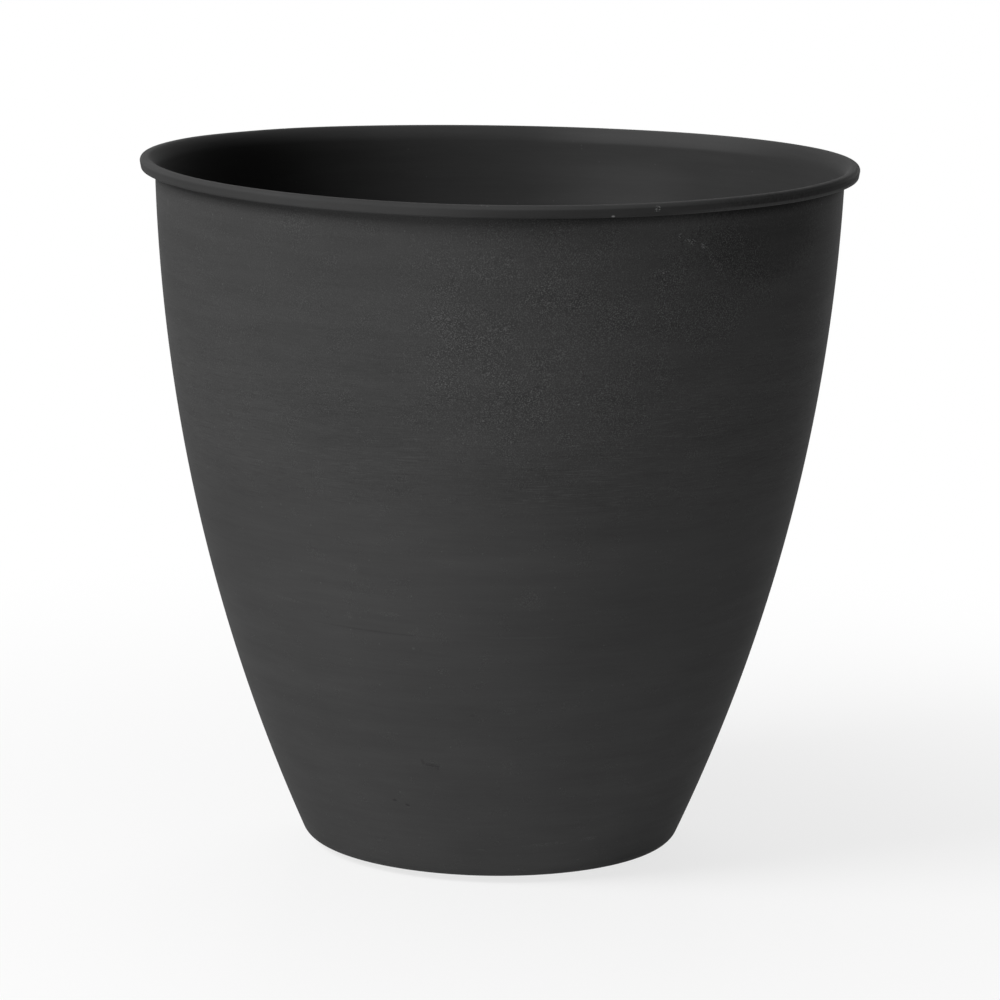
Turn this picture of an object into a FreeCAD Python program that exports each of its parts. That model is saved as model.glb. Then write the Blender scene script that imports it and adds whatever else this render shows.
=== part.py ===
import FreeCAD, Part
import math
import os

import Sketcher
from FreeCAD import Vector

# Metal planter: a round, free-standing pot of spun sheet steel for a potted plant.
# Every piece is turned about the Z axis. The origin is on the floor, under the middle of the pot.

# Driving sizes, in millimetres and degrees
SIZES = (
    ("rim_diameter", 320.0, "across the outside of the rolled rim"),
    ("overall_height", 311.0, "from the floor to the crest of the rim"),
    ("sheet_thickness", 0.8, "steel of the wall and of the base pan"),
    ("rim_overhang", 6.75, "from the wall under the rim out to the rim's edge"),
    ("neck_lean", 1.94, "how far the wall leans outward just under the rim, from upright"),
    ("flare_radius", 7.6, "outside radius of the bend from the wall into the rim"),
    ("rim_wire_diameter", 3.5, "stiffening wire inside the rolled rim"),
    ("rim_wire_clearance", 0.15, "between the wire and the sheet rolled round it"),
    ("curl_end_angle", 150.0, "how far below level, seen from the wire, the rolled edge ends"),
    ("base_diameter", 156.6, "flat underside of the wall, inside its rounded foot"),
    ("foot_radius", 7.6, "outside radius of the wall's rounded foot"),
    ("foot_flange_width", 16.0, "flat flange turned inward at the foot"),
    ("floor_clearance", 2.5, "from the floor to the underside of the flange"),
    ("pan_seam_gap", 0.15, "between the pan's upturned edge and the wall"),
    ("pan_edge_height", 12.0, "height of the pan's upturned edge"),
    ("drain_hole_diameter", 16.0, "bore of the collar in the middle of the pan"),
    ("drain_collar_depth", 1.5, "how far the collar reaches below the pan"),
    ("drain_bend_radius", 0.6, "outside radius of the bend from the pan into the collar"),
    ("plug_clearance", 0.1, "between the plug's stem and the collar's bore"),
    ("plug_seat_gap", 0.05, "between the plug's head and the pan"),
    ("plug_stem_reach", 0.4, "how far the stem shows below the collar"),
    ("plug_stem_chamfer", 0.8, "lead-in at the lower end of the stem"),
    ("plug_head_overlap", 6.0, "how far the head reaches past the bore"),
    ("plug_head_thickness", 2.4, "flat head that covers the hole"),
    ("plug_edge_radius", 1.2, "rounding of the head's upper edge"),
    ("plug_neck_diameter", 6.4, "waist between the head and the knob"),
    ("plug_neck_fillet", 1.5, "fillet at the foot of the waist"),
    ("plug_knob_diameter", 11.0, "round finger grip"),
    ("plug_knob_lift", 7.0, "from the top of the head to the middle of the knob"),
    ("pad_diameter", 18.0, "rubber pad that the pot stands on"),
    ("pad_edge_radius", 1.0, "rounding of the pad's lower edge"),
    ("pad_edge_gap", 4.0, "between a pad and the edge of the flange"),
)
PAD_COUNT = 4
FULL_TURN = 360.0

doc = FreeCAD.newDocument("metal_planter")
sheet = doc.addObject("Spreadsheet::Sheet", "sizes")
for row, (alias, value, meaning) in enumerate(SIZES, start=1):
    sheet.set(f"A{row}", meaning)
    sheet.set(f"B{row}", str(value))
    sheet.setAlias(f"B{row}", alias)
doc.recompute()

# Sizes that more than one piece follows, as formulas on the sheet
BEAD_BORE = "(sizes.rim_wire_diameter / 2 + sizes.rim_wire_clearance)"
BEAD = f"({BEAD_BORE} + sizes.sheet_thickness)"
BEAD_X = f"(sizes.rim_diameter / 2 - {BEAD})"
BEAD_Z = f"(sizes.overall_height - {BEAD})"
FLANGE_X = "(sizes.base_diameter / 2 - sizes.foot_flange_width)"
PAN_Z = "(sizes.floor_clearance + sizes.sheet_thickness)"
BORE_RADIUS = "(sizes.drain_hole_diameter / 2)"


def number(formula):
    """Present value of a formula on the sheet."""
    return float(sheet.evalExpression(formula))


# Sketch helpers. In a sketch x is the distance from the axis and y is the height.
START, END, CENTRE = range(1, 4)
LEVEL_AXIS, UPRIGHT_AXIS = range(-1, -3, -1)
ORIGIN = (LEVEL_AXIS, START)


def new_body(name):
    body = doc.addObject("PartDesign::Body", name)
    body.Label = name
    return body


def new_profile(body, name):
    """Sketch on the body's XZ plane."""
    plane = next(item for item in body.Origin.OriginFeatures if item.Role == "XZ_Plane")
    sketch = body.newObject("Sketcher::SketchObject", name)
    sketch.AttachmentSupport = [(plane, "")]
    sketch.MapMode = "FlatFace"
    return sketch


def draw_line(sketch, start, end, construction=False):
    return sketch.addGeometry(Part.LineSegment(Vector(*start), Vector(*end)), construction)


def draw_arc(sketch, centre, radius, from_degrees, to_degrees):
    """Arc drawn counter-clockwise between two directions from its centre."""
    circle = Part.Circle(Vector(*centre), Vector(0, 0, 1), radius)
    return sketch.addGeometry(
        Part.ArcOfCircle(circle, math.radians(from_degrees), math.radians(to_degrees))
    )


def join(sketch, kind, *ends):
    """Coincident or Tangent between two curve ends, each given as (curve, end)."""
    (first, first_end), (second, second_end) = ends
    sketch.addConstraint(Sketcher.Constraint(kind, first, first_end, second, second_end))


def hold(sketch, kind, *geometry):
    sketch.addConstraint(Sketcher.Constraint(kind, *geometry))


def size(sketch, kind, geometry, formula):
    """Dimension bound to the sheet."""
    value = number(formula)
    if kind == "Angle":
        value = math.radians(value)
    index = sketch.addConstraint(Sketcher.Constraint(kind, *geometry, value))
    sketch.setExpression(f"Constraints[{index}]", formula)


def place(sketch, point, x_formula, y_formula):
    """Distances of a point from the axis and from the floor."""
    size(sketch, "DistanceX", (*ORIGIN, *point), x_formula)
    size(sketch, "DistanceY", (*ORIGIN, *point), y_formula)


def measure(sketch, kind, geometry, name):
    """Dimension that follows the geometry and can be read by other pieces under its name."""
    index = sketch.addConstraint(Sketcher.Constraint(kind, *geometry, 0.0))
    sketch.setDriving(index, False)
    sketch.renameConstraint(index, name)


def turn(body, sketch):
    """Solid of the closed profile turned once round the upright axis."""
    doc.recompute()
    if not sketch.FullyConstrained:
        raise RuntimeError(f"{sketch.Name} is not fully constrained")
    revolution = body.newObject("PartDesign::Revolution", f"{body.Name}_turned")
    revolution.Profile = sketch
    revolution.ReferenceAxis = (sketch, ["V_Axis"])
    revolution.Angle = FULL_TURN
    body.Tip = revolution
    doc.recompute()
    return body


def polar(centre, radius, degrees):
    angle = math.radians(degrees)
    return (centre[0] + radius * math.cos(angle), centre[1] + radius * math.sin(angle))


def direction(from_point, to_point):
    """Direction from one point to another, in degrees."""
    return math.degrees(math.atan2(to_point[1] - from_point[1], to_point[0] - from_point[0]))


# Layout of the wall's outer face: one arc from the rounded foot to the neck, then the flare and the bead
lean = math.radians(sheet.neck_lean)
foot_centre = (sheet.base_diameter / 2, sheet.floor_clearance + sheet.foot_radius)
bead_centre = (number(BEAD_X), number(BEAD_Z))
neck_x = sheet.rim_diameter / 2 - sheet.rim_overhang
flare_x = neck_x + sheet.flare_radius * math.cos(lean)
flare_reach = sheet.flare_radius - number(BEAD_BORE)
flare_centre = (flare_x, bead_centre[1] - math.sqrt(flare_reach**2 - (flare_x - bead_centre[0]) ** 2))
neck = polar(flare_centre, sheet.flare_radius, math.degrees(math.pi - lean))
across = foot_centre[0] - neck[0]
down = foot_centre[1] - neck[1]
wall_radius = (sheet.foot_radius**2 - across**2 - down**2) / (
    2 * (across * math.cos(lean) - down * math.sin(lean) + sheet.foot_radius)
)
wall_centre = (neck[0] - wall_radius * math.cos(lean), neck[1] + wall_radius * math.sin(lean))
foot_direction = direction(wall_centre, foot_centre)
bead_direction = direction(flare_centre, bead_centre)
neck_direction = -sheet.neck_lean


# Wall: one spun sheet with a flange turned in at the foot and an edge rolled outward over the rim wire
def make_wall_shell():
    body = new_body("wall_shell")
    sketch = new_profile(body, "wall_profile")
    sheet_step = sheet.sheet_thickness
    flange_x = number(FLANGE_X)
    flange_low = sheet.floor_clearance
    flange_high = number(PAN_Z)
    curl_end = -sheet.curl_end_angle
    bore = number(BEAD_BORE)

    low = draw_line(sketch, (flange_x, flange_low), (foot_centre[0], flange_low))
    foot = draw_arc(sketch, foot_centre, sheet.foot_radius, -90, foot_direction)
    wall = draw_arc(sketch, wall_centre, wall_radius, foot_direction, neck_direction)
    flare = draw_arc(sketch, flare_centre, sheet.flare_radius, bead_direction, 180 + neck_direction)
    curl = draw_arc(sketch, bead_centre, bore, curl_end, bead_direction)
    curl_edge = draw_line(
        sketch, polar(bead_centre, bore, curl_end), polar(bead_centre, bore + sheet_step, curl_end)
    )
    bead = draw_arc(sketch, bead_centre, bore + sheet_step, curl_end, bead_direction)
    lip = draw_arc(
        sketch, flare_centre, sheet.flare_radius + sheet_step, bead_direction, 180 + neck_direction
    )
    lining = draw_arc(sketch, wall_centre, wall_radius - sheet_step, foot_direction, neck_direction)
    hollow = draw_arc(sketch, foot_centre, sheet.foot_radius - sheet_step, -90, foot_direction)
    high = draw_line(sketch, (foot_centre[0], flange_high), (flange_x, flange_high))
    flange_edge = draw_line(sketch, (flange_x, flange_high), (flange_x, flange_low))
    neck_normal = draw_line(sketch, wall_centre, neck, construction=True)

    # The outer face, then the inner face, run smoothly from the flange to the rolled edge
    join(sketch, "Tangent", (low, END), (foot, START))
    join(sketch, "Tangent", (foot, END), (wall, START))
    join(sketch, "Tangent", (wall, END), (flare, END))
    join(sketch, "Tangent", (flare, START), (curl, END))
    join(sketch, "Coincident", (curl, START), (curl_edge, START))
    join(sketch, "Coincident", (curl_edge, END), (bead, START))
    join(sketch, "Tangent", (bead, END), (lip, START))
    join(sketch, "Tangent", (lip, END), (lining, END))
    join(sketch, "Tangent", (lining, START), (hollow, END))
    join(sketch, "Tangent", (hollow, START), (high, START))
    join(sketch, "Coincident", (high, END), (flange_edge, START))
    join(sketch, "Coincident", (flange_edge, END), (low, START))

    # Both faces share their centres, so the sheet has one thickness all the way
    for outer, inner in ((foot, hollow), (wall, lining), (flare, lip), (curl, bead)):
        join(sketch, "Coincident", (outer, CENTRE), (inner, CENTRE))
    join(sketch, "Coincident", (neck_normal, START), (wall, CENTRE))
    join(sketch, "Coincident", (neck_normal, END), (wall, END))
    hold(sketch, "Horizontal", low)
    hold(sketch, "Horizontal", high)
    hold(sketch, "Vertical", flange_edge)
    hold(sketch, "PointOnObject", curl, CENTRE, curl_edge)

    place(sketch, (curl, CENTRE), BEAD_X, BEAD_Z)
    size(sketch, "Radius", (curl,), BEAD_BORE)
    size(sketch, "Radius", (bead,), BEAD)
    size(sketch, "Angle", (curl_edge,), "-sizes.curl_end_angle")
    size(sketch, "Radius", (flare,), "sizes.flare_radius")
    size(sketch, "DistanceX", (*ORIGIN, wall, END), "sizes.rim_diameter / 2 - sizes.rim_overhang")
    size(sketch, "Angle", (neck_normal,), "-sizes.neck_lean")
    size(sketch, "DistanceX", (*ORIGIN, foot, CENTRE), "sizes.base_diameter / 2")
    size(sketch, "Radius", (foot,), "sizes.foot_radius")
    place(sketch, (low, START), FLANGE_X, "sizes.floor_clearance")

    # The pan's edge follows the wall's arc
    measure(sketch, "DistanceX", (wall, CENTRE, *ORIGIN), "wall_centre_behind_axis")
    measure(sketch, "DistanceY", (*ORIGIN, wall, CENTRE), "wall_centre_height")
    return turn(body, sketch)


# Rim wire: a ring of round steel wire that the wall's edge is rolled over
def make_rim_wire():
    wire = doc.addObject("Part::Torus", "rim_wire")
    wire.Label = "rim_wire"
    wire.setExpression("Radius1", BEAD_X)
    wire.setExpression("Radius2", "sizes.rim_wire_diameter / 2")
    wire.setExpression("Placement.Base.z", BEAD_Z)
    return wire


# Base pan: a pressed disc that lies on the flange, with an upturned edge and a collared drain hole
def make_base_pan():
    body = new_body("base_pan")
    sketch = new_profile(body, "pan_profile")
    sheet_step = sheet.sheet_thickness
    gap = sheet.pan_seam_gap
    bore = number(BORE_RADIUS)
    under = number(PAN_Z)
    upper = under + sheet_step
    collar_low = under - sheet.drain_collar_depth
    bend_centre = (bore + sheet_step + sheet.drain_bend_radius, under - sheet.drain_bend_radius)
    corner_centre = (foot_centre[0] - gap, foot_centre[1])
    corner_radius = sheet.foot_radius - sheet_step
    edge_centre = (wall_centre[0] - gap, wall_centre[1])
    edge_radius = wall_radius - sheet_step
    edge_high = under + sheet.pan_edge_height
    edge_direction = -math.degrees(math.asin((edge_centre[1] - edge_high) / edge_radius))

    collar = draw_line(sketch, (bore + sheet_step, collar_low), (bore + sheet_step, bend_centre[1]))
    bend = draw_arc(sketch, bend_centre, sheet.drain_bend_radius, 90, 180)
    floor = draw_line(sketch, (bend_centre[0], under), (corner_centre[0], under))
    corner = draw_arc(sketch, corner_centre, corner_radius, -90, foot_direction)
    edge = draw_arc(sketch, edge_centre, edge_radius, foot_direction, edge_direction)
    edge_top = draw_line(
        sketch,
        polar(edge_centre, edge_radius, edge_direction),
        polar(edge_centre, edge_radius - sheet_step, edge_direction),
    )
    edge_inside = draw_arc(
        sketch, edge_centre, edge_radius - sheet_step, foot_direction, edge_direction
    )
    corner_inside = draw_arc(
        sketch, corner_centre, corner_radius - sheet_step, -90, foot_direction
    )
    top = draw_line(sketch, (corner_centre[0], upper), (bend_centre[0], upper))
    mouth = draw_arc(sketch, bend_centre, sheet.drain_bend_radius + sheet_step, 90, 180)
    bore_face = draw_line(sketch, (bore, bend_centre[1]), (bore, collar_low))
    collar_end = draw_line(sketch, (bore, collar_low), (bore + sheet_step, collar_low))

    join(sketch, "Tangent", (collar, END), (bend, END))
    join(sketch, "Tangent", (bend, START), (floor, START))
    join(sketch, "Tangent", (floor, END), (corner, START))
    join(sketch, "Tangent", (corner, END), (edge, START))
    join(sketch, "Coincident", (edge, END), (edge_top, START))
    join(sketch, "Coincident", (edge_top, END), (edge_inside, END))
    join(sketch, "Tangent", (edge_inside, START), (corner_inside, END))
    join(sketch, "Tangent", (corner_inside, START), (top, START))
    join(sketch, "Tangent", (top, END), (mouth, START))
    join(sketch, "Tangent", (mouth, END), (bore_face, START))
    join(sketch, "Coincident", (bore_face, END), (collar_end, START))
    join(sketch, "Coincident", (collar_end, END), (collar, START))

    for outer, inner in ((bend, mouth), (corner, corner_inside), (edge, edge_inside)):
        join(sketch, "Coincident", (outer, CENTRE), (inner, CENTRE))
    for level in (floor, top, collar_end):
        hold(sketch, "Horizontal", level)
    hold(sketch, "Vertical", collar)
    hold(sketch, "Vertical", bore_face)
    hold(sketch, "PointOnObject", edge, CENTRE, edge_top)

    # The underside lies flat on the flange and the edge stands off the wall by the seam gap
    place(sketch, (bore_face, END), BORE_RADIUS, f"{PAN_Z} - sizes.drain_collar_depth")
    size(sketch, "Radius", (bend,), "sizes.drain_bend_radius")
    size(sketch, "Radius", (mouth,), "sizes.drain_bend_radius + sizes.sheet_thickness")
    size(sketch, "DistanceY", (*ORIGIN, floor, START), PAN_Z)
    size(sketch, "DistanceX", (*ORIGIN, corner, CENTRE), "sizes.base_diameter / 2 - sizes.pan_seam_gap")
    size(sketch, "Radius", (corner,), "sizes.foot_radius - sizes.sheet_thickness")
    size(
        sketch,
        "DistanceX",
        (edge, CENTRE, *ORIGIN),
        "wall_profile.Constraints.wall_centre_behind_axis + sizes.pan_seam_gap * 1 mm",
    )
    size(sketch, "DistanceY", (*ORIGIN, edge, CENTRE), "wall_profile.Constraints.wall_centre_height")
    size(sketch, "DistanceY", (*ORIGIN, edge, END), f"{PAN_Z} + sizes.pan_edge_height")
    return turn(body, sketch)


# Drain plug: a turned rubber stopper with a stem in the collar, a flat head and a round grip
STEM = f"({BORE_RADIUS} - sizes.plug_clearance)"
STEM_LOW = f"({PAN_Z} - sizes.drain_collar_depth - sizes.plug_stem_reach)"
SEAT_Z = f"({PAN_Z} + sizes.sheet_thickness + sizes.plug_seat_gap)"
HEAD = f"({BORE_RADIUS} + sizes.plug_head_overlap)"
HEAD_Z = f"({SEAT_Z} + sizes.plug_head_thickness)"
WAIST = "(sizes.plug_neck_diameter / 2)"
KNOB = "(sizes.plug_knob_diameter / 2)"


def make_drain_plug():
    body = new_body("drain_plug")
    sketch = new_profile(body, "plug_profile")
    stem, stem_low, chamfer = number(STEM), number(STEM_LOW), sheet.plug_stem_chamfer
    seat, head, head_high = number(SEAT_Z), number(HEAD), number(HEAD_Z)
    edge_round, neck_round = sheet.plug_edge_radius, sheet.plug_neck_fillet
    waist, knob = number(WAIST), number(KNOB)
    knob_centre = (0.0, head_high + sheet.plug_knob_lift)
    waist_direction = -math.degrees(math.acos(waist / knob))

    end = draw_line(sketch, (0.0, stem_low), (stem - chamfer, stem_low))
    lead_in = draw_line(sketch, (stem - chamfer, stem_low), (stem, stem_low + chamfer))
    side = draw_line(sketch, (stem, stem_low + chamfer), (stem, seat))
    shoulder = draw_line(sketch, (stem, seat), (head, seat))
    head_side = draw_line(sketch, (head, seat), (head, head_high - edge_round))
    head_edge = draw_arc(sketch, (head - edge_round, head_high - edge_round), edge_round, 0, 90)
    head_top = draw_line(sketch, (head - edge_round, head_high), (waist + neck_round, head_high))
    fillet = draw_arc(sketch, (waist + neck_round, head_high + neck_round), neck_round, 180, 270)
    neck_side = draw_line(
        sketch, (waist, head_high + neck_round), polar(knob_centre, knob, waist_direction)
    )
    grip = draw_arc(sketch, knob_centre, knob, waist_direction, 90)
    axis = draw_line(sketch, polar(knob_centre, knob, 90), (0.0, stem_low))

    outline = (axis, end, lead_in, side, shoulder, head_side)
    for first, second in zip(outline, outline[1:]):
        join(sketch, "Coincident", (first, END), (second, START))
    join(sketch, "Tangent", (head_side, END), (head_edge, START))
    join(sketch, "Tangent", (head_edge, END), (head_top, START))
    join(sketch, "Tangent", (head_top, END), (fillet, END))
    join(sketch, "Tangent", (fillet, START), (neck_side, START))
    join(sketch, "Coincident", (neck_side, END), (grip, START))
    join(sketch, "Coincident", (grip, END), (axis, START))
    for level in (end, shoulder, head_top):
        hold(sketch, "Horizontal", level)
    for upright in (side, head_side, neck_side, axis):
        hold(sketch, "Vertical", upright)
    hold(sketch, "PointOnObject", end, START, UPRIGHT_AXIS)
    hold(sketch, "PointOnObject", grip, CENTRE, UPRIGHT_AXIS)

    place(sketch, (lead_in, START), f"{STEM} - sizes.plug_stem_chamfer", STEM_LOW)
    place(sketch, (side, START), STEM, f"{STEM_LOW} + sizes.plug_stem_chamfer")
    place(sketch, (head_side, START), HEAD, SEAT_Z)
    size(sketch, "DistanceY", (*ORIGIN, head_top, START), HEAD_Z)
    size(sketch, "Radius", (head_edge,), "sizes.plug_edge_radius")
    size(sketch, "Radius", (fillet,), "sizes.plug_neck_fillet")
    size(sketch, "DistanceX", (*ORIGIN, neck_side, START), WAIST)
    size(sketch, "Radius", (grip,), KNOB)
    size(sketch, "DistanceY", (head_top, START, grip, CENTRE), "sizes.plug_knob_lift")
    return turn(body, sketch)


# Foot pads: rubber discs under the pan, just inside the flange, that keep the wall off the floor
PAD_RADIUS = "(sizes.pad_diameter / 2)"
PAD_X = f"({FLANGE_X} - sizes.pad_edge_gap - {PAD_RADIUS})"


def make_foot_pad(count):
    body = new_body(f"foot_pad_{count}")
    sketch = new_profile(body, f"pad_profile_{count}")
    radius, high, edge_round = number(PAD_RADIUS), number(PAN_Z), sheet.pad_edge_radius

    under = draw_line(sketch, (0.0, 0.0), (radius - edge_round, 0.0))
    edge = draw_arc(sketch, (radius - edge_round, edge_round), edge_round, -90, 0)
    side = draw_line(sketch, (radius, edge_round), (radius, high))
    top = draw_line(sketch, (radius, high), (0.0, high))
    axis = draw_line(sketch, (0.0, high), (0.0, 0.0))

    join(sketch, "Tangent", (under, END), (edge, START))
    join(sketch, "Tangent", (edge, END), (side, START))
    join(sketch, "Coincident", (side, END), (top, START))
    join(sketch, "Coincident", (top, END), (axis, START))
    join(sketch, "Coincident", (axis, END), (under, START))
    join(sketch, "Coincident", (under, START), ORIGIN)
    hold(sketch, "Horizontal", under)
    hold(sketch, "Horizontal", top)
    hold(sketch, "Vertical", side)
    hold(sketch, "Vertical", axis)

    place(sketch, (side, END), PAD_RADIUS, PAN_Z)
    size(sketch, "Radius", (edge,), "sizes.pad_edge_radius")
    turn(body, sketch)

    bearing = FULL_TURN * (count - 0.5) / PAD_COUNT
    body.setExpression("Placement.Base.x", f"{PAD_X} * cos({bearing} deg)")
    body.setExpression("Placement.Base.y", f"{PAD_X} * sin({bearing} deg)")
    return body


pieces = [make_wall_shell(), make_rim_wire(), make_base_pan(), make_drain_plug()]
pieces += [make_foot_pad(count) for count in range(1, PAD_COUNT + 1)]
doc.recompute()

for item in doc.Objects:
    if "Invalid" in item.State or "Error" in item.State:
        raise RuntimeError(f"{item.Name} failed: {item.State}")
for piece in pieces:
    if piece.Shape.isNull() or not piece.Shape.isValid() or len(piece.Shape.Solids) != 1:
        raise RuntimeError(f"{piece.Label} has no sound solid")

os.makedirs("parts", exist_ok=True)
for piece in pieces:
    piece.Shape.exportStep(f"parts/{piece.Label}.step")
    box = piece.Shape.optimalBoundingBox()
    print(f"{piece.Label}: {piece.Shape.Volume:.1f} mm3, {box.ZMin:.2f} to {box.ZMax:.2f} mm high")
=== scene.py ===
import math

import bpy
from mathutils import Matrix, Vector, noise


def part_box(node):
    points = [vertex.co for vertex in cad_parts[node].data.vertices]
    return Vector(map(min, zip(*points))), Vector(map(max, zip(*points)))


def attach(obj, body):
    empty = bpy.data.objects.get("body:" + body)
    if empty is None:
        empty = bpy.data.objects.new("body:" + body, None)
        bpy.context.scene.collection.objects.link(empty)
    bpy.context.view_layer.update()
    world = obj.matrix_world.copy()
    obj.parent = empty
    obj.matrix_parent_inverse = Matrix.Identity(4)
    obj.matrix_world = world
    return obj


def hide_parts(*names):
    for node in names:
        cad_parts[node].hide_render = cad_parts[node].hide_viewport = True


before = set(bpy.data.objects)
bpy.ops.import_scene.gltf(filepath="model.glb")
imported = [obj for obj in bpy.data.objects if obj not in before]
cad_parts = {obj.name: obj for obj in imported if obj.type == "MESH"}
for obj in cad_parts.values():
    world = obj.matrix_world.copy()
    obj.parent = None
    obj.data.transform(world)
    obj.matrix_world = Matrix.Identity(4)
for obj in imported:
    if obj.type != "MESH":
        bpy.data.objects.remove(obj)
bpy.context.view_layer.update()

MM = 0.001


# Wall: one sheet of steel spun over a former into a tapered pot, its foot turned in as a flat flange,
# its upper edge flared, rolled outward over a wire and dressed flat outside. Charcoal paint was brushed
# on while the pot turned, so its marks run round the pot. Everything else is fixed to this piece.
wall_low, wall_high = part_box("wall_shell")
rim_radius = wall_high.x
rim_crest = wall_high.z
flange_level = wall_low.z
sheet = 0.8 * MM
flange_radius = 62.3 * MM
base_radius = 78.3 * MM
foot_round = 7.6 * MM
neck_radius = rim_radius - 6.75 * MM
neck_lean = math.radians(1.94)
flare_round = 7.6 * MM
curl_bore = 1.9 * MM
curl_end = math.radians(-150.0)
bead_shoulder = 1.9 * MM
bead_heel = 1.0 * MM
bead_lean = math.radians(10.0)
wall_sides = 240
sheet_edge = math.radians(40.0)

# Centres of the arcs that the outside face is made of, as (distance from the axis, height)
foot_centre = Vector((base_radius, flange_level + foot_round))
bead_centre = Vector((rim_radius - curl_bore - sheet, rim_crest - curl_bore - sheet))
flare_x = neck_radius + flare_round * math.cos(neck_lean)
flare_rise = math.sqrt((flare_round - curl_bore) ** 2 - (flare_x - bead_centre.x) ** 2)
flare_centre = Vector((flare_x, bead_centre.y - flare_rise))
outward = Vector((math.cos(neck_lean), -math.sin(neck_lean)))
neck = flare_centre - flare_round * outward
reach = foot_centre - neck
wall_round = (foot_round**2 - reach.length_squared) / (2 * (reach.dot(outward) + foot_round))
wall_centre = neck - wall_round * outward
shoulder_centre = Vector((rim_radius - bead_shoulder, rim_crest - bead_shoulder))
face_out = Vector((math.cos(bead_lean), -math.sin(bead_lean)))
heel_centre = shoulder_centre + (bead_shoulder - bead_heel) * face_out
heel_drop = heel_centre.y - (bead_centre.y - curl_bore - sheet + bead_heel)
heel_centre -= heel_drop * Vector((math.tan(bead_lean), 1.0))


def heading(from_point, to_point):
    """Direction from one point of an outline to another, as an angle above level."""
    return math.atan2(to_point.y - from_point.y, to_point.x - from_point.x)


def turned_piece(name, start, strokes, sides):
    """Draws an outline beside the axis and turns it into a round piece.

    A stroke is ("line", end) or ("arc", centre, angle, steps), and goes on from where the last one ended.
    """
    weld = 0.005 * MM
    bpy.ops.object.select_all(action="DESELECT")
    bpy.ops.mesh.primitive_plane_add(size=MM)
    piece = bpy.context.object
    piece.name = name
    piece.data.name = name
    bpy.ops.object.mode_set(mode="EDIT")
    bpy.ops.mesh.select_all(action="SELECT")
    bpy.ops.mesh.merge(type="CENTER")
    bpy.ops.transform.translate(value=(start[0], 0.0, start[1]))
    pen = Vector(start)
    for stroke in strokes:
        if stroke[0] == "line":
            end = Vector(stroke[1])
            step = end - pen
            bpy.ops.mesh.extrude_region_move(TRANSFORM_OT_translate={"value": (step.x, 0.0, step.y)})
            pen = end
        else:
            centre, angle, steps = stroke[1:]
            bpy.ops.mesh.spin(
                steps=steps, angle=angle, center=(centre[0], 0.0, centre[1]), axis=(0.0, 1.0, 0.0)
            )
            arm = pen - Vector(centre)
            turn = (math.cos(angle), math.sin(angle))
            pen = Vector(centre) + Vector(
                (arm.x * turn[0] - arm.y * turn[1], arm.x * turn[1] + arm.y * turn[0])
            )
    bpy.ops.mesh.select_all(action="SELECT")
    bpy.ops.mesh.spin(steps=sides, angle=math.tau, center=(0.0, 0.0, 0.0), axis=(0.0, 0.0, 1.0))
    bpy.ops.mesh.select_all(action="SELECT")
    bpy.ops.mesh.remove_doubles(threshold=weld)
    bpy.ops.mesh.normals_make_consistent(inside=False)
    bpy.ops.object.mode_set(mode="OBJECT")
    return piece


def thicken(piece, thickness, side):
    """Gives a turned sheet its thickness: side 1 is where its faces look, side -1 is behind them."""
    solidify = piece.modifiers.new("sheet", "SOLIDIFY")
    solidify.thickness = thickness
    solidify.offset = side
    solidify.use_even_offset = True
    bpy.ops.object.modifier_apply(modifier=solidify.name)


foot_heading = heading(wall_centre, foot_centre)
bead_heading = heading(flare_centre, bead_centre)
wall = turned_piece(
    "planter_wall",
    (flange_radius, flange_level),
    [
        ("line", (base_radius, flange_level)),
        ("arc", foot_centre, foot_heading + math.pi / 2, 10),
        ("arc", wall_centre, -neck_lean - foot_heading, 48),
        ("arc", flare_centre, bead_heading - (math.pi - neck_lean), 8),
        ("arc", bead_centre, math.pi / 2 - bead_heading, 6),
        ("line", (shoulder_centre.x, bead_centre.y + curl_bore)),
        ("arc", shoulder_centre, -math.pi / 2 - bead_lean, 9),
        ("line", heel_centre + (bead_heel - sheet) * face_out),
        ("arc", heel_centre, bead_lean - math.pi / 2, 4),
        ("line", (bead_centre.x, bead_centre.y - curl_bore)),
        ("arc", bead_centre, curl_end + math.pi / 2, 8),
    ],
    sides=wall_sides,
)
# The rolled edge makes the faces look inward, where the sheet's thickness goes
thicken(wall, sheet, side=1.0)

# The hand-rolled rim isn't quite level: it sits lower at the front and back than at the sides,
# and its bead wanders a little. The foot, set on the former, stays true.
rim_sag = 1.0 * MM
rim_wander = 0.25 * MM
low_ripple = 3.0
tight_ripple = 4.0
ripple_shift = Vector((0.0, 0.0, 7.0))
sag_from = 0.5 * rim_crest


def settle_rim(piece):
    """Lowers and draws in the upper part of a piece as the rolled rim does."""
    for vertex in piece.data.vertices:
        x, y, z = vertex.co
        lift = min(1.0, max(0.0, (z - sag_from) / (rim_crest - sag_from)))
        lift = lift * lift * (3.0 - 2.0 * lift)
        bearing = math.atan2(x, -y)
        ring = Vector((math.cos(bearing), math.sin(bearing), 0.0))
        low = 0.5 + 0.5 * noise.noise(low_ripple * ring)
        tight = 0.5 + 0.5 * noise.noise(tight_ripple * ring + ripple_shift)
        squeeze = 1.0 - lift * rim_wander * tight / rim_radius
        drop = rim_sag * (1.0 + math.cos(2.0 * bearing)) + rim_wander * low
        vertex.co = (x * squeeze, y * squeeze, z - lift * drop)


settle_rim(wall)
bpy.ops.object.shade_smooth_by_angle(angle=sheet_edge)


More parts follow.
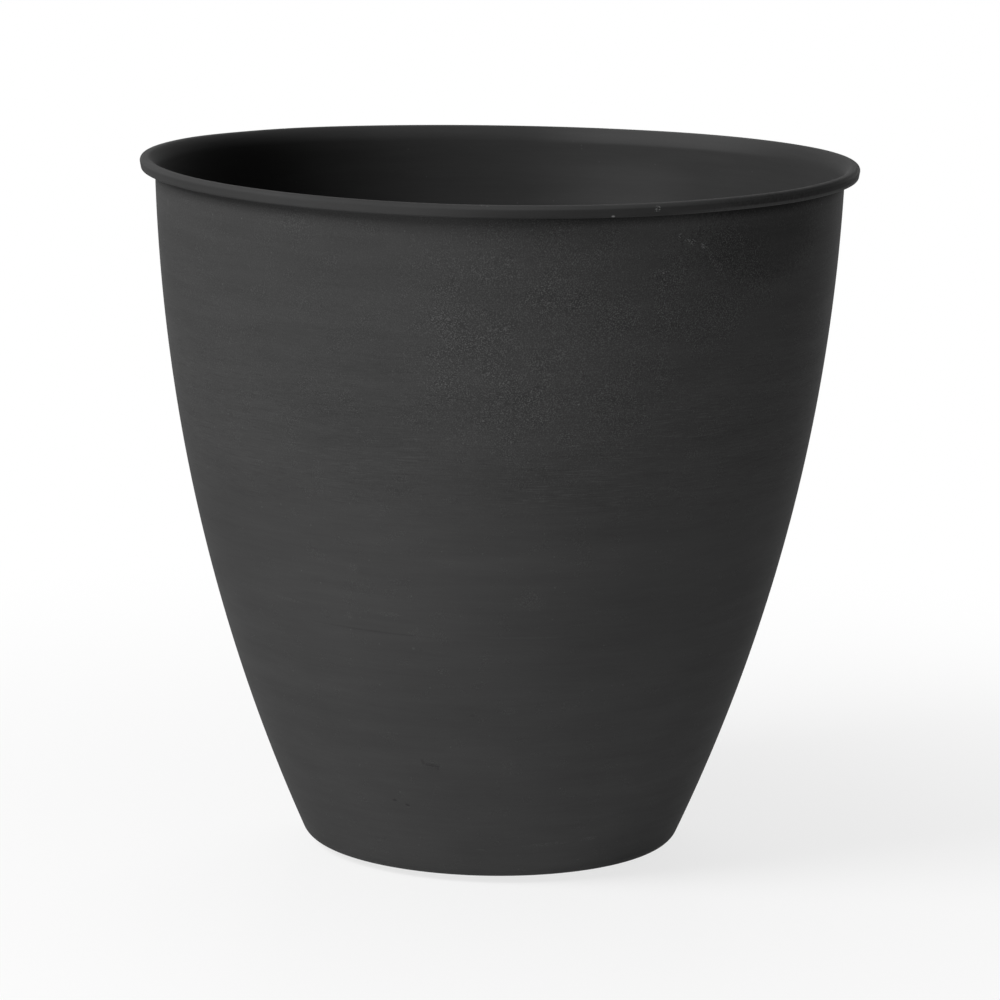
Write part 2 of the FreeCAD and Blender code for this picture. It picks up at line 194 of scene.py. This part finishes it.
def charcoal_paint(name, marks):
    """Matt charcoal paint: fine grain towards the rim, broken brush dashes, specks of dust, marks, painted
    light and shade.
    """
    material = bpy.data.materials.new(name)
    material.use_nodes = True
    tree = material.node_tree
    paint = tree.nodes["Principled BSDF"]
    place = tree.nodes.new("ShaderNodeTexCoord").outputs["Object"]

    def math_node(operation, *values):
        made = tree.nodes.new("ShaderNodeMath")
        made.operation = operation
        for socket, value in zip(made.inputs, values):
            if isinstance(value, (int, float)):
                socket.default_value = value
            else:
                tree.links.new(value, socket)
        return made.outputs[0]

    def vector_node(operation, *vectors):
        made = tree.nodes.new("ShaderNodeVectorMath")
        made.operation = operation
        for socket, vector in zip(made.inputs, vectors):
            tree.links.new(vector, socket)
        return made.outputs["Value" if operation == "LENGTH" else "Vector"]

    def noise_node(vector, stretch, detail, seed=0.0):
        """Noise over a stretched copy of a vector, from about 0.25 to 0.75."""
        mapping = tree.nodes.new("ShaderNodeMapping")
        mapping.inputs["Scale"].default_value = stretch
        mapping.inputs["Location"].default_value = (seed, seed, seed)
        tree.links.new(vector, mapping.inputs["Vector"])
        texture = tree.nodes.new("ShaderNodeTexNoise")
        texture.inputs["Scale"].default_value = 1.0
        texture.inputs["Detail"].default_value = detail
        tree.links.new(mapping.outputs[0], texture.inputs["Vector"])
        return texture.outputs["Fac"]

    def fade(value, low, high):
        """0 at low, 1 at high, smooth between."""
        made = tree.nodes.new("ShaderNodeMapRange")
        made.interpolation_type = "SMOOTHSTEP"
        made.inputs["From Min"].default_value = low
        made.inputs["From Max"].default_value = high
        tree.links.new(value, made.inputs["Value"])
        return made.outputs["Result"]

    def join(x=0.0, y=0.0, z=0.0):
        made = tree.nodes.new("ShaderNodeCombineXYZ")
        for socket, value in zip(made.inputs, (x, y, z)):
            if isinstance(value, (int, float)):
                socket.default_value = value
            else:
                tree.links.new(value, socket)
        return made.outputs[0]

    def split(vector):
        made = tree.nodes.new("ShaderNodeSeparateXYZ")
        tree.links.new(vector, made.inputs[0])
        return made.outputs

    # Position round the pot as a unit circle, and along the outline of a turned piece as a length
    x, y, height = split(place)
    level_part = join(x, y)
    from_axis = vector_node("LENGTH", level_part)
    across, ahead, _ = split(vector_node("NORMALIZE", level_part))
    along = math_node("MULTIPLY_ADD", from_axis, 0.7, height)
    round_pot = join(across, ahead, along)

    # Height before the rim settled lower at the front and back, and the part below the rolled bead
    sag = math_node("MULTIPLY", across, across)
    sag = math_node("SUBTRACT", math_node("MULTIPLY", ahead, ahead), sag)
    true_height = math_node("MULTIPLY_ADD", math_node("ADD", sag, 1.0), rim_sag, height)
    below_bead = fade(true_height, rim_crest - 3.0 * MM, rim_crest - 9.0 * MM)

    def reach_from(centre, level):
        """Distance of the outline from the centre of one of its arcs."""
        out = math_node("SUBTRACT", from_axis, centre.x)
        return vector_node("LENGTH", join(out, math_node("SUBTRACT", level, centre.y)))

    # The outside face of the wall lies farthest from the centre of its sweep, and nearest to its flare's
    outside = fade(reach_from(wall_centre, height), wall_round - 0.65 * MM, wall_round - 0.4 * MM)
    inner_flare = math_node(
        "MULTIPLY",
        fade(reach_from(flare_centre, true_height), flare_round + 0.15 * MM, flare_round + 0.55 * MM),
        fade(true_height, neck.y - 1.0 * MM, neck.y + 1.0 * MM),
    )
    outside = math_node("MULTIPLY", outside, math_node("SUBTRACT", 1.0, inner_flare))

    # Tone: 0.5 is plain paint, mottled a little by the brush, with fine grit towards the rim and in flecks
    bands = noise_node(round_pot, (2.5, 2.5, 110.0), 3.0, seed=4.0)
    clouds = noise_node(place, (9.0, 9.0, 14.0), 3.0)
    streaks = noise_node(round_pot, (4.0, 4.0, 450.0), 2.0, seed=8.0)
    tone = 0.5
    for mottle, strength in ((bands, 0.18), (clouds, 0.26), (streaks, 0.10)):
        tone = math_node("MULTIPLY_ADD", math_node("SUBTRACT", mottle, 0.5), strength, tone)
    grain = noise_node(place, (1900.0, 1900.0, 1900.0), 1.0)
    grit = math_node("SUBTRACT", fade(grain, 0.40, 0.75), 0.25)
    grit = math_node("MULTIPLY", grit, math_node("MULTIPLY", below_bead, outside))
    patches = fade(noise_node(round_pot, (9.0, 9.0, 60.0), 3.0, seed=9.0), 0.30, 0.65)
    patches = math_node("MULTIPLY_ADD", patches, 0.55, 0.45)
    towards_rim = math_node("MULTIPLY_ADD", fade(height, 0.15, 0.23), 0.18, 0.04)
    gritty = math_node("MULTIPLY", patches, towards_rim)
    flecks = fade(noise_node(round_pot, (14.0, 14.0, 120.0), 2.0, seed=6.0), 0.56, 0.66)
    gritty = math_node("MULTIPLY_ADD", flecks, 0.18, gritty)
    tone = math_node("MULTIPLY_ADD", grit, gritty, tone)

    # Short dashes that the brush left, pale and dark
    pale_dash = fade(noise_node(round_pot, (18.0, 18.0, 2000.0), 1.0), 0.54, 0.70)
    dark_dash = fade(noise_node(round_pot, (13.0, 13.0, 1800.0), 1.0, seed=3.0), 0.54, 0.72)
    brushed = math_node("MULTIPLY", fade(height, 0.16, 0.185), fade(height, 0.27, 0.22))
    brushed = math_node("MULTIPLY_ADD", brushed, 0.75, 0.25)
    tone = math_node("MULTIPLY_ADD", pale_dash, math_node("MULTIPLY", brushed, 0.07), tone)
    tone = math_node("MULTIPLY_ADD", dark_dash, math_node("MULTIPLY", brushed, -0.08), tone)

    # Specks of dust in the paint
    cells = tree.nodes.new("ShaderNodeTexVoronoi")
    cells.inputs["Scale"].default_value = 230.0
    tree.links.new(place, cells.inputs["Vector"])
    picked = tree.nodes.new("ShaderNodeSeparateColor")
    tree.links.new(cells.outputs["Color"], picked.inputs[0])
    rare = math_node("MULTIPLY", fade(picked.outputs[0], 0.55, 1.0), below_bead)
    speck = math_node("MULTIPLY", fade(cells.outputs["Distance"], 0.12, 0.05), rare)
    tone = math_node("MULTIPLY_ADD", speck, 0.32, tone)

    # Painted light and shade round the rim: a painted sheen inside the back right of the flare, painted
    # light on the inside wall below it, painted shade on the bead's face and in the crease under the bead,
    # less so on the left, and a painted highlight along the bead's lower edge on the right
    at_back = fade(ahead, 0.0, 0.3)
    # Painted sheen: paler paint inside the flare at the back right
    flare_sheen = math_node("MULTIPLY", fade(across, 0.05, 0.35), fade(across, 0.92, 0.62))
    flare_sheen = math_node("MULTIPLY", math_node("MULTIPLY", flare_sheen, at_back), inner_flare)
    tone = math_node("MULTIPLY_ADD", flare_sheen, 0.34, tone)
    # Painted light: paler paint on the inside wall at the back right, below the flare
    inner_wall_light = math_node("MULTIPLY", fade(across, 0.0, 0.4), fade(across, 0.66, 0.45))
    inner_wall_light = math_node("MULTIPLY", inner_wall_light, math_node("MULTIPLY", at_back, fade(height, 0.1, 0.2)))
    inner_wall_light = math_node("MULTIPLY", inner_wall_light, fade(height, rim_crest - 8.0 * MM, rim_crest - 25.0 * MM))
    inner_wall_light = math_node("MULTIPLY", inner_wall_light, math_node("SUBTRACT", 1.0, outside))
    tone = math_node("MULTIPLY_ADD", inner_wall_light, 0.25, tone)
    # Painted shade on the bead's face, strongest on the right
    face = math_node(
        "MULTIPLY",
        fade(from_axis, rim_radius - 2.8 * MM, rim_radius - 2.0 * MM),
        fade(true_height, rim_crest - 1.3 * MM, rim_crest - 2.2 * MM),
    )
    face_shade = math_node("MULTIPLY_ADD", fade(across, -0.75, -0.45), 0.14, -0.14)
    face_shade = math_node("MULTIPLY_ADD", fade(across, -0.3, 0.1), -0.24, face_shade)
    tone = math_node("MULTIPLY_ADD", face, face_shade, tone)
    # Painted highlight along the bead's lower edge on the right
    lip_highlight = math_node(
        "MULTIPLY",
        fade(from_axis, rim_radius - 3.4 * MM, rim_radius - 2.6 * MM),
        fade(true_height, rim_crest - 3.6 * MM, rim_crest - 4.4 * MM),
    )
    tone = math_node("MULTIPLY_ADD", lip_highlight, math_node("MULTIPLY", fade(across, 0.4, 0.7), 0.42), tone)
    # Painted shade in the crease under the bead, less on the left
    crease_shade = math_node(
        "MULTIPLY",
        fade(true_height, rim_crest - 11.5 * MM, rim_crest - 5.5 * MM),
        fade(from_axis, rim_radius - 2.5 * MM, rim_radius - 4.5 * MM),
    )
    crease_shade = math_node("MULTIPLY", crease_shade, fade(across, -0.45, 0.3))
    tone = math_node("MULTIPLY_ADD", math_node("MULTIPLY", crease_shade, outside), -0.46, tone)

    # Marks of use, each an oval on the outside: solid with a ragged edge, gritty, or broken into grains
    # or dashes
    ragged = noise_node(place, (700.0, 700.0, 700.0), 2.0, seed=2.0)
    edge_reach = 1.5
    mark_depth = 45.0 * MM
    broken = {
        "solid": outside,
        "gritty": math_node("MULTIPLY", grit, patches),
        "grains": math_node("MULTIPLY", fade(grain, 0.48, 0.62), outside),
        "dashes": math_node("MULTIPLY", pale_dash, outside),
    }
    for look, bearing, level, length, width, tilt, change in marks:
        radius = rim_radius
        if level * MM < neck.y:
            radius = wall_centre.x + math.sqrt(wall_round**2 - (level * MM - wall_centre.y) ** 2)
        turn = math.radians(bearing)
        spot = tree.nodes.new("ShaderNodeMapping")
        spot.vector_type = "TEXTURE"
        spot.inputs["Location"].default_value = (
            radius * math.sin(turn),
            -radius * math.cos(turn),
            level * MM,
        )
        spot.inputs["Rotation"].default_value = (0.0, math.radians(-tilt), turn)
        spot.inputs["Scale"].default_value = (
            edge_reach * length / 2 * MM,
            mark_depth,
            edge_reach * width / 2 * MM,
        )
        tree.links.new(place, spot.inputs["Vector"])
        oval = tree.nodes.new("ShaderNodeTexGradient")
        oval.gradient_type = "SPHERICAL"
        tree.links.new(spot.outputs[0], oval.inputs["Vector"])
        edge = math_node("MULTIPLY_ADD", oval.outputs["Fac"], -edge_reach, ragged)
        mark = math_node("MULTIPLY", fade(edge, 0.1, -0.5), broken[look])
        tone = math_node("MULTIPLY_ADD", mark, change, tone)

    # The paint's greys take the lower half of the range, and chips in it shine out above them
    paint_share = 0.5
    colour = tree.nodes.new("ShaderNodeValToRGB")
    colour.color_ramp.elements[0].color = (0.014, 0.014, 0.014, 1.0)
    colour.color_ramp.elements[1].color = (0.25, 0.25, 0.25, 1.0)
    palest_paint = colour.color_ramp.elements.new(paint_share)
    palest_paint.color = (0.078, 0.078, 0.078, 1.0)
    tree.links.new(math_node("MULTIPLY", tone, paint_share), colour.inputs[0])
    tree.links.new(colour.outputs["Color"], paint.inputs["Base Color"])

    rough = math_node("MULTIPLY_ADD", tone, -0.2, 0.8)
    tree.links.new(rough, paint.inputs["Roughness"])
    paint.inputs["Specular IOR Level"].default_value = 0.03
    bump = tree.nodes.new("ShaderNodeBump")
    bump.inputs["Strength"].default_value = 0.25
    bump.inputs["Distance"].default_value = 0.2 * MM
    tree.links.new(tone, bump.inputs["Height"])
    tree.links.new(bump.outputs["Normal"], paint.inputs["Normal"])
    return material


# Marks of use: look, bearing from the front in degrees, height, length and width in millimetres, tilt in
# degrees, and how much lighter or darker than the paint they are
marks = [
    ("solid", -16.1, 59.0, 3.0, 2.1, -60.0, -0.15),
    ("solid", -14.3, 57.9, 8.0, 2.1, -4.0, -0.16),
    ("solid", -12.6, 56.9, 2.6, 1.8, -80.0, -0.13),
    ("solid", -25.1, 38.7, 2.8, 1.3, 0.0, -0.22),
    ("solid", -21.6, 37.0, 2.4, 1.3, -12.0, -0.20),
    ("solid", -21.6, 36.0, 2.0, 0.8, 0.0, 0.10),
    ("grains", 29.6, 294.3, 2.4, 2.4, 0.0, 0.60),
    ("grains", 31.7, 291.5, 7.5, 2.8, -14.0, 0.60),
    ("grains", 34.5, 288.9, 6.5, 3.2, -38.0, 0.55),
    ("grains", 36.1, 283.5, 9.0, 3.4, -62.0, 0.28),
    ("grains", 37.8, 279.0, 9.0, 6.0, -60.0, 0.22),
    ("gritty", 8.0, 248.0, 140.0, 118.0, 0.0, 0.50),
    ("gritty", 37.0, 272.0, 78.0, 58.0, 0.0, 0.52),
    # A broad darker patch under the rim on the right, not a mark of use
    ("solid", 47.0, 291.0, 95.0, 46.0, 0.0, -0.18),
    ("dashes", 13.0, 193.0, 95.0, 42.0, 0.0, 0.09),
    ("dashes", -22.0, 197.0, 60.0, 28.0, 0.0, 0.06),
    ("dashes", 33.0, 214.0, 60.0, 26.0, 0.0, 0.10),
    ("solid", -70.6, 294.8, 1.3, 4.4, 0.0, 0.22),
    ("grains", 16.0, 19.2, 22.0, 1.8, 2.0, 0.22),
    ("grains", 28.5, 20.2, 10.0, 2.0, 3.0, 0.35),
    ("solid", -2.5, 17.0, 4.0, 0.9, 0.0, 0.14),
    ("grains", -43.9, 128.0, 19.0, 1.8, -3.0, 0.22),
    ("grains", -20.3, 127.9, 14.0, 2.4, 0.0, 0.22),
    ("grains", -27.1, 147.3, 6.0, 5.0, 0.0, 0.20),
    ("grains", -29.3, 125.3, 5.0, 4.0, 0.0, 0.20),
    ("solid", -15.9, 113.0, 1.6, 1.4, 0.0, 0.22),
    ("grains", -10.0, 102.7, 6.0, 3.0, -20.0, 0.20),
    ("grains", 3.6, 85.1, 9.0, 4.0, 0.0, 0.20),
    ("solid", -4.1, 82.9, 2.4, 1.6, 0.0, -0.08),
    ("grains", 7.0, 136.0, 16.0, 10.0, 0.0, 0.15),
    ("grains", 4.1, 59.1, 8.0, 6.0, 0.0, 0.14),
    ("solid", -24.0, 119.4, 70.0, 0.9, -1.5, -0.09),
    ("solid", 6.0, 119.6, 42.0, 0.8, 0.0, 0.07),
    ("grains", 24.3, 307.0, 3.4, 2.8, 20.0, 1.5),
    ("solid", 17.2, 304.3, 2.0, 1.1, 0.0, 1.3),
    ("grains", -2.5, 308.5, 1.6, 1.2, 0.0, 0.5),
    ("solid", -1.8, 308.5, 1.2, 0.8, 0.0, 0.25),
]
wall.data.materials.append(charcoal_paint("brushed_charcoal_paint", marks))
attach(wall, "planter")
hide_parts("wall_shell")


# Rim wire: a ring of round galvanised steel wire inside the rolled rim, which stiffens it.
# The wall's edge is closed over it, so it shows only in the slit under the rim.
wire_radius = 1.75 * MM
wire = turned_piece(
    "planter_rim_wire",
    (bead_centre.x + wire_radius, bead_centre.y),
    [("arc", bead_centre, math.tau, 20)],
    sides=wall_sides,
)
settle_rim(wire)
bpy.ops.object.shade_smooth()

zinc = bpy.data.materials.new("galvanised_wire")
zinc.use_nodes = True
zinc_tree = zinc.node_tree
zinc_shader = zinc_tree.nodes["Principled BSDF"]
zinc_shader.inputs["Metallic"].default_value = 1.0
zinc_place = zinc_tree.nodes.new("ShaderNodeTexCoord")
spangle = zinc_tree.nodes.new("ShaderNodeTexNoise")
spangle.inputs["Scale"].default_value = 420.0
spangle.inputs["Detail"].default_value = 3.0
zinc_tree.links.new(zinc_place.outputs["Object"], spangle.inputs["Vector"])
zinc_colour = zinc_tree.nodes.new("ShaderNodeValToRGB")
zinc_colour.color_ramp.elements[0].position = 0.35
zinc_colour.color_ramp.elements[0].color = (0.22, 0.225, 0.23, 1.0)
zinc_colour.color_ramp.elements[1].position = 0.65
zinc_colour.color_ramp.elements[1].color = (0.40, 0.41, 0.42, 1.0)
zinc_tree.links.new(spangle.outputs["Fac"], zinc_colour.inputs[0])
zinc_tree.links.new(zinc_colour.outputs[0], zinc_shader.inputs["Base Color"])
zinc_rough = zinc_tree.nodes.new("ShaderNodeMapRange")
zinc_rough.inputs["To Min"].default_value = 0.4
zinc_rough.inputs["To Max"].default_value = 0.65
zinc_tree.links.new(spangle.outputs["Fac"], zinc_rough.inputs["Value"])
zinc_tree.links.new(zinc_rough.outputs[0], zinc_shader.inputs["Roughness"])
wire.data.materials.append(zinc)
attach(wire, "planter")
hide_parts("rim_wire")


# Base pan: a pressed steel disc that lies on the wall's flange and closes the pot. Its edge turns up
# inside the wall, and a short collar is drawn down round the drain hole in its middle.
seam_gap = 0.15 * MM
pan_level = flange_level + sheet
pan_edge = pan_level + 12.0 * MM
hole_radius = 8.0 * MM
collar_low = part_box("base_pan")[0].z
bend_round = 0.6 * MM
ring_step = 24.0 * MM
bend_centre = Vector((hole_radius + sheet + bend_round, pan_level - bend_round))
pan_corner = foot_centre - Vector((seam_gap, 0.0))
pan_sweep_centre = wall_centre - Vector((seam_gap, 0.0))
pan_sweep_round = wall_round - sheet
edge_heading = math.asin((pan_edge - pan_sweep_centre.y) / pan_sweep_round)
pan = turned_piece(
    "planter_base_pan",
    (hole_radius + sheet, collar_low),
    [
        ("line", (hole_radius + sheet, bend_centre.y)),
        ("arc", bend_centre, -math.pi / 2, 6),
        ("line", (bend_centre.x + ring_step, pan_level)),
        ("line", (bend_centre.x + 2 * ring_step, pan_level)),
        ("line", (pan_corner.x, pan_level)),
        ("arc", pan_corner, foot_heading + math.pi / 2, 10),
        ("arc", pan_sweep_centre, edge_heading - foot_heading, 4),
    ],
    sides=192,
)
thicken(pan, sheet, side=-1.0)
bpy.ops.object.shade_smooth_by_angle(angle=sheet_edge)
pan.data.materials.append(charcoal_paint("plain_charcoal_paint", []))
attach(pan, "planter")
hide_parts("base_pan")


# Drain plug: a moulded rubber stopper that is pushed into the collar from inside and pulled out by its
# round knob. A groove round the stem seals it, and the two halves of its mould left a line on the knob.
plug_low, plug_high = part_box("drain_plug")
stem_radius = 7.9 * MM
stem_chamfer = 0.8 * MM
seat_gap = 0.05 * MM
seat_level = pan_level + sheet + seat_gap
head_radius = plug_high.x
head_height = 2.4 * MM
head_level = seat_level + head_height
head_round = 1.2 * MM
waist_radius = 3.2 * MM
waist_round = 1.5 * MM
knob_radius = 5.5 * MM
knob_line = 0.1 * MM
ball_radius = knob_radius - knob_line
knob_centre = Vector((0.0, plug_high.z - knob_radius))
groove_level = 0.5 * (plug_low.z + stem_chamfer + seat_level)
groove_round = 0.35 * MM
ball_start = -math.acos(waist_radius / ball_radius)
line_half = math.radians(2.5)
dish_radius = 11.0 * MM
dish_depth = 0.3 * MM
rubber_sides = 64
rubber_edge = math.radians(30.0)
plug = turned_piece(
    "planter_drain_plug",
    (0.0, plug_low.z),
    [
        ("line", (stem_radius - stem_chamfer, plug_low.z)),
        ("line", (stem_radius, plug_low.z + stem_chamfer)),
        ("line", (stem_radius, groove_level - groove_round)),
        ("arc", (stem_radius, groove_level), -math.pi, 6),
        ("line", (stem_radius, seat_level)),
        ("line", (head_radius, seat_level)),
        ("line", (head_radius, head_level - head_round)),
        ("arc", (head_radius - head_round, head_level - head_round), math.pi / 2, 6),
        ("line", (dish_radius, head_level)),
        ("line", (dish_radius - dish_depth, head_level - dish_depth)),
        ("line", (waist_radius + waist_round, head_level - dish_depth)),
        ("line", (waist_radius + waist_round, head_level)),
        ("arc", (waist_radius + waist_round, head_level + waist_round), -math.pi / 2, 6),
        ("line", (waist_radius, knob_centre.y + ball_radius * math.sin(ball_start))),
        ("arc", knob_centre, -line_half - ball_start, 10),
        ("line", (knob_radius, knob_centre.y)),
        ("line", (ball_radius * math.cos(line_half), knob_centre.y + ball_radius * math.sin(line_half))),
        ("arc", knob_centre, math.pi / 2 - line_half, 14),
    ],
    sides=rubber_sides,
)
bpy.ops.object.shade_smooth_by_angle(angle=rubber_edge)


def black_rubber(name, dark, pale, texture_size):
    """Moulded black rubber with a fine tooled surface and a pale bloom in patches."""
    material = bpy.data.materials.new(name)
    material.use_nodes = True
    tree = material.node_tree
    rubber = tree.nodes["Principled BSDF"]
    rubber.inputs["Specular IOR Level"].default_value = 0.35
    place = tree.nodes.new("ShaderNodeTexCoord").outputs["Object"]
    bloom = tree.nodes.new("ShaderNodeTexNoise")
    bloom.inputs["Scale"].default_value = 160.0
    bloom.inputs["Detail"].default_value = 5.0
    tree.links.new(place, bloom.inputs["Vector"])
    colour = tree.nodes.new("ShaderNodeValToRGB")
    colour.color_ramp.elements[0].position = 0.4
    colour.color_ramp.elements[0].color = (dark, dark, dark, 1.0)
    colour.color_ramp.elements[1].position = 0.7
    colour.color_ramp.elements[1].color = (pale, pale, pale, 1.0)
    tree.links.new(bloom.outputs["Fac"], colour.inputs[0])
    tree.links.new(colour.outputs[0], rubber.inputs["Base Color"])
    dull = tree.nodes.new("ShaderNodeMapRange")
    dull.inputs["To Min"].default_value = 0.55
    dull.inputs["To Max"].default_value = 0.85
    tree.links.new(bloom.outputs["Fac"], dull.inputs["Value"])
    tree.links.new(dull.outputs[0], rubber.inputs["Roughness"])
    tooling = tree.nodes.new("ShaderNodeTexNoise")
    tooling.inputs["Scale"].default_value = 1.0 / texture_size
    tooling.inputs["Detail"].default_value = 2.0
    tree.links.new(place, tooling.inputs["Vector"])
    bump = tree.nodes.new("ShaderNodeBump")
    bump.inputs["Strength"].default_value = 0.3
    bump.inputs["Distance"].default_value = 0.1 * MM
    tree.links.new(tooling.outputs["Fac"], bump.inputs["Height"])
    tree.links.new(bump.outputs["Normal"], rubber.inputs["Normal"])
    return material


plug.data.materials.append(black_rubber("moulded_plug_rubber", 0.012, 0.03, 0.5 * MM))
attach(plug, "plug")
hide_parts("drain_plug")


# Foot pads: four black rubber discs glued under the pan, just inside the flange, that keep the painted
# wall off the floor. Each has two rings cut into its underside for grip.
pad_radius = 9.0 * MM
pad_round = 1.0 * MM
pad_bevel = 0.2 * MM
ring_depth = 0.5 * MM
ring_width = 0.9 * MM
ring_draft = 0.15 * MM
pad_strokes = []
for ring_radius in (3.0 * MM, 5.6 * MM):
    pad_strokes += [
        ("line", (ring_radius, 0.0)),
        ("line", (ring_radius + ring_draft, ring_depth)),
        ("line", (ring_radius + ring_width - ring_draft, ring_depth)),
        ("line", (ring_radius + ring_width, 0.0)),
    ]
pad_strokes += [
    ("line", (pad_radius - pad_round, 0.0)),
    ("arc", (pad_radius - pad_round, pad_round), math.pi / 2, 6),
    ("line", (pad_radius, pan_level - pad_bevel)),
    ("line", (pad_radius - pad_bevel, pan_level)),
    ("line", (0.0, pan_level)),
]
pad_rubber = black_rubber("moulded_pad_rubber", 0.016, 0.045, 0.7 * MM)
first_pad = turned_piece("planter_foot_pad_1", (0.0, 0.0), pad_strokes, sides=rubber_sides)
bpy.ops.object.shade_smooth_by_angle(angle=rubber_edge)
first_pad.data.materials.append(pad_rubber)
pads = [first_pad]
for count in (2, 3, 4):
    bpy.ops.object.select_all(action="DESELECT")
    first_pad.select_set(True)
    bpy.context.view_layer.objects.active = first_pad
    bpy.ops.object.duplicate(linked=False)
    pad = bpy.context.object
    pad.name = f"planter_foot_pad_{count}"
    pad.data.name = pad.name
    pads.append(pad)
for count, pad in enumerate(pads, start=1):
    node = f"foot_pad_{count}"
    low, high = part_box(node)
    bpy.ops.object.select_all(action="DESELECT")
    pad.select_set(True)
    bpy.context.view_layer.objects.active = pad
    bpy.ops.transform.translate(value=((low.x + high.x) / 2, (low.y + high.y) / 2, low.z))
    bpy.ops.object.transform_apply(location=True, rotation=False, scale=False)
    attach(pad, "planter")
    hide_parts(node)


# Floor: a round pale studio table that carries the pot's shadow and shows white to the lens.
table_radius = 0.75
shade_from = 0.05
shade_to = 0.9 * table_radius
white_under_pot = 0.75
bpy.ops.object.select_all(action="DESELECT")
bpy.ops.mesh.primitive_circle_add(vertices=96, radius=table_radius, fill_type="NGON")
floor = bpy.context.object
floor.name = "studio_floor"


def seen_rays(tree):
    """1 for rays from the lens, off gloss and through glass, 0 for those that light the pot."""
    rays = tree.nodes.new("ShaderNodeLightPath")
    seen = rays.outputs["Is Camera Ray"]
    for also in ("Is Glossy Ray", "Is Transmission Ray"):
        wider = tree.nodes.new("ShaderNodeMath")
        wider.operation = "MAXIMUM"
        tree.links.new(seen, wider.inputs[0])
        tree.links.new(rays.outputs[also], wider.inputs[1])
        seen = wider.outputs[0]
    return seen


floor_paint = bpy.data.materials.new("floor_white")
floor_paint.use_nodes = True
floor_tree = floor_paint.node_tree
matt = floor_tree.nodes["Principled BSDF"]
matt.inputs["Base Color"].default_value = (0.9, 0.9, 0.9, 1.0)
matt.inputs["Roughness"].default_value = 0.9
glow = floor_tree.nodes.new("ShaderNodeEmission")

# The shadow's share is largest under the pot and fades out before the edge of the table
floor_place = floor_tree.nodes.new("ShaderNodeTexCoord")
floor_reach = floor_tree.nodes.new("ShaderNodeVectorMath")
floor_reach.operation = "LENGTH"
floor_tree.links.new(floor_place.outputs["Object"], floor_reach.inputs[0])
plain_white = floor_tree.nodes.new("ShaderNodeMapRange")
plain_white.interpolation_type = "SMOOTHSTEP"
plain_white.inputs["From Min"].default_value = shade_from
plain_white.inputs["From Max"].default_value = shade_to
plain_white.inputs["To Min"].default_value = white_under_pot
plain_white.inputs["To Max"].default_value = 1.0
floor_tree.links.new(floor_reach.outputs["Value"], plain_white.inputs["Value"])
share = floor_tree.nodes.new("ShaderNodeMath")
share.operation = "MULTIPLY"
floor_tree.links.new(seen_rays(floor_tree), share.inputs[0])
floor_tree.links.new(plain_white.outputs["Result"], share.inputs[1])
blend = floor_tree.nodes.new("ShaderNodeMixShader")
floor_tree.links.new(share.outputs[0], blend.inputs["Fac"])
floor_tree.links.new(matt.outputs[0], blend.inputs[1])
floor_tree.links.new(glow.outputs[0], blend.inputs[2])
floor_tree.links.new(blend.outputs[0], floor_tree.nodes["Material Output"].inputs["Surface"])
floor.data.materials.append(floor_paint)


# Light: a soft lamp high on the left, low ones in front and behind, two weak ones behind, a narrow one
# down into the pot, and a dim room that the lens and the pot's gloss see as plain white.
lamp_distance = 2.2


def soft_lamp(name, bearing, elevation, size, power, spread=180.0):
    """Square lamp facing the pot; bearing is from the front towards the right."""
    lamp = bpy.data.lights.new(name, "AREA")
    lamp.energy = power
    lamp.size = size
    lamp.spread = math.radians(spread)
    holder = bpy.data.objects.new(name, lamp)
    bpy.context.scene.collection.objects.link(holder)
    level = lamp_distance * math.cos(math.radians(elevation))
    turn = math.radians(bearing)
    holder.location = (
        level * math.sin(turn),
        -level * math.cos(turn),
        rim_crest / 2 + lamp_distance * math.sin(math.radians(elevation)),
    )
    aim = Vector((0.0, 0.0, rim_crest / 2)) - holder.location
    holder.rotation_euler = aim.to_track_quat("-Z", "Y").to_euler()


soft_lamp("key_lamp", bearing=-59.0, elevation=37.0, size=1.0, power=45.5)
soft_lamp("front_lamp", bearing=0.0, elevation=2.0, size=0.35, power=15.2)
soft_lamp("edge_lamp", bearing=150.0, elevation=8.0, size=0.6, power=4.0)
soft_lamp("rear_lamp", bearing=180.0, elevation=45.0, size=1.0, power=7.0)
soft_lamp("back_lamp", bearing=180.0, elevation=0.0, size=0.3, power=14.0)
soft_lamp("well_lamp", bearing=0.0, elevation=90.0, size=0.05, power=0.035, spread=4.5)
room_light = 0.03
room = bpy.data.worlds.new("studio_room")
room.use_nodes = True
room_tree = room.node_tree
room_white = room_tree.nodes["Background"]
room_white.inputs["Color"].default_value = (1.0, 1.0, 1.0, 1.0)
room_level = room_tree.nodes.new("ShaderNodeMapRange")
room_level.inputs["To Min"].default_value = room_light
room_tree.links.new(seen_rays(room_tree), room_level.inputs["Value"])
room_tree.links.new(room_level.outputs["Result"], room_white.inputs["Strength"])
bpy.context.scene.world = room
bpy.context.scene.view_settings.view_transform = "Standard"


# Camera: a long lens two metres off, a little above the rim and turned a trace off level.
aim_height = 155.8 * MM
camera_distance = 2116.5 * MM
camera_elevation = math.radians(10.542)
camera_roll = math.radians(0.877)
lens = bpy.data.cameras.new("photo_camera")
lens.lens = 169.0
lens.sensor_width = 36.0
lens.shift_x = 0.0051
lens.shift_y = 0.0006
camera = bpy.data.objects.new("photo_camera", lens)
camera.location = (
    0.0,
    -camera_distance * math.cos(camera_elevation),
    aim_height + camera_distance * math.sin(camera_elevation),
)
camera.rotation_mode = "ZXY"
camera.rotation_euler = (math.pi / 2 - camera_elevation, 0.0, camera_roll)
bpy.context.scene.collection.objects.link(camera)
bpy.context.scene.camera = camera
